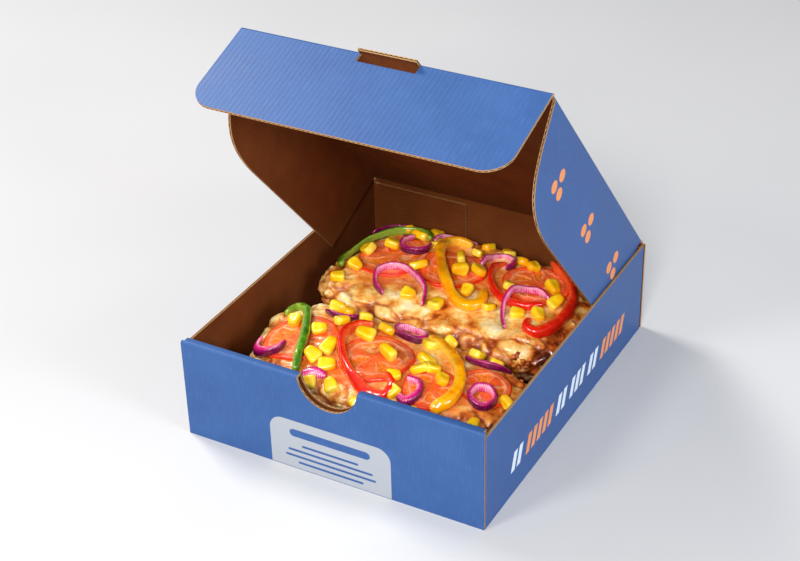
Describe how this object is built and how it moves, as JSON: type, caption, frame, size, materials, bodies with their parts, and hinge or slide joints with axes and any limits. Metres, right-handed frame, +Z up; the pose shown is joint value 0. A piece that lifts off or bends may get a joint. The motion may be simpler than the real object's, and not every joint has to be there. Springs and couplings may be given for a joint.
{
  "type": "pizza in a takeaway box",
  "caption": "Puffy vegetable pizza in pieces, side by side in an open corrugated tray with a hinged lid, side wings and a tuck-in front flap.",
  "frame": {"origin": "centre of the tray's underside, on the surface the box stands on", "axes": "+X to the right and +Y to the back as the open box is faced, +Z up; the lid's hinge crease runs along X at the back"},
  "size_m": [0.2, 0.232, 0.2387],
  "materials": {
    "board": "matte",
    "cheese_crust": "satin",
    "tomato": "gloss",
    "green_pepper": "gloss",
    "red_pepper": "gloss",
    "yellow_pepper": "gloss",
    "red_onion": "gloss"
  },
  "bodies": {
    "tray": {"tray": "board", "pizza_front": "cheese_crust", "pizza_back": "cheese_crust", "tomato_back_left": "tomato", "tomato_back_middle": "tomato", "tomato_back_right": "tomato", "tomato_front_left": "tomato", "tomato_front_middle": "tomato", "tomato_front_inner": "tomato", "tomato_front_right": "tomato", "green_pepper_back": "green_pepper", "onion_back_corner": "red_onion", "onion_back_curl": "red_onion", "onion_back_arch": "red_onion", "yellow_pepper_back": "yellow_pepper", "onion_back_middle": "red_onion", "onion_back_hook": "red_onion", "red_pepper_back_thin": "red_pepper", "onion_back_right": "red_onion", "red_pepper_back": "red_pepper", "green_pepper_front": "green_pepper", "onion_front_corner": "red_onion", "onion_front_curl": "red_onion", "onion_front_wedge": "red_onion", "red_pepper_front": "red_pepper", "onion_front_ring": "red_onion", "yellow_pepper_front": "yellow_pepper", "onion_front_arc": "red_onion", "onion_front_right": "red_onion", "onion_front_hook": "red_onion"},
    "lid": {"lid": "board"},
    "front_flap": {"front_flap": "board"}
  },
  "joints": [
    {"name": "lid_hinge", "type": "hinge", "parent": "tray", "child": "lid", "pos_m": [0, 0.1152, 0.0646], "axis": [-1, 0, 0], "range_deg": [-47.9, 69]},
    {"name": "flap_fold", "type": "hinge", "parent": "lid", "child": "front_flap", "pos_m": [0, -0.03156, 0.23343], "axis": [-1, 0, 0], "range_deg": [-42.7, 61.5]}
  ],
  "couplings": [
    {"joint": "flap_fold", "follows": "lid_hinge", "ratio": 0.89}
  ]
}
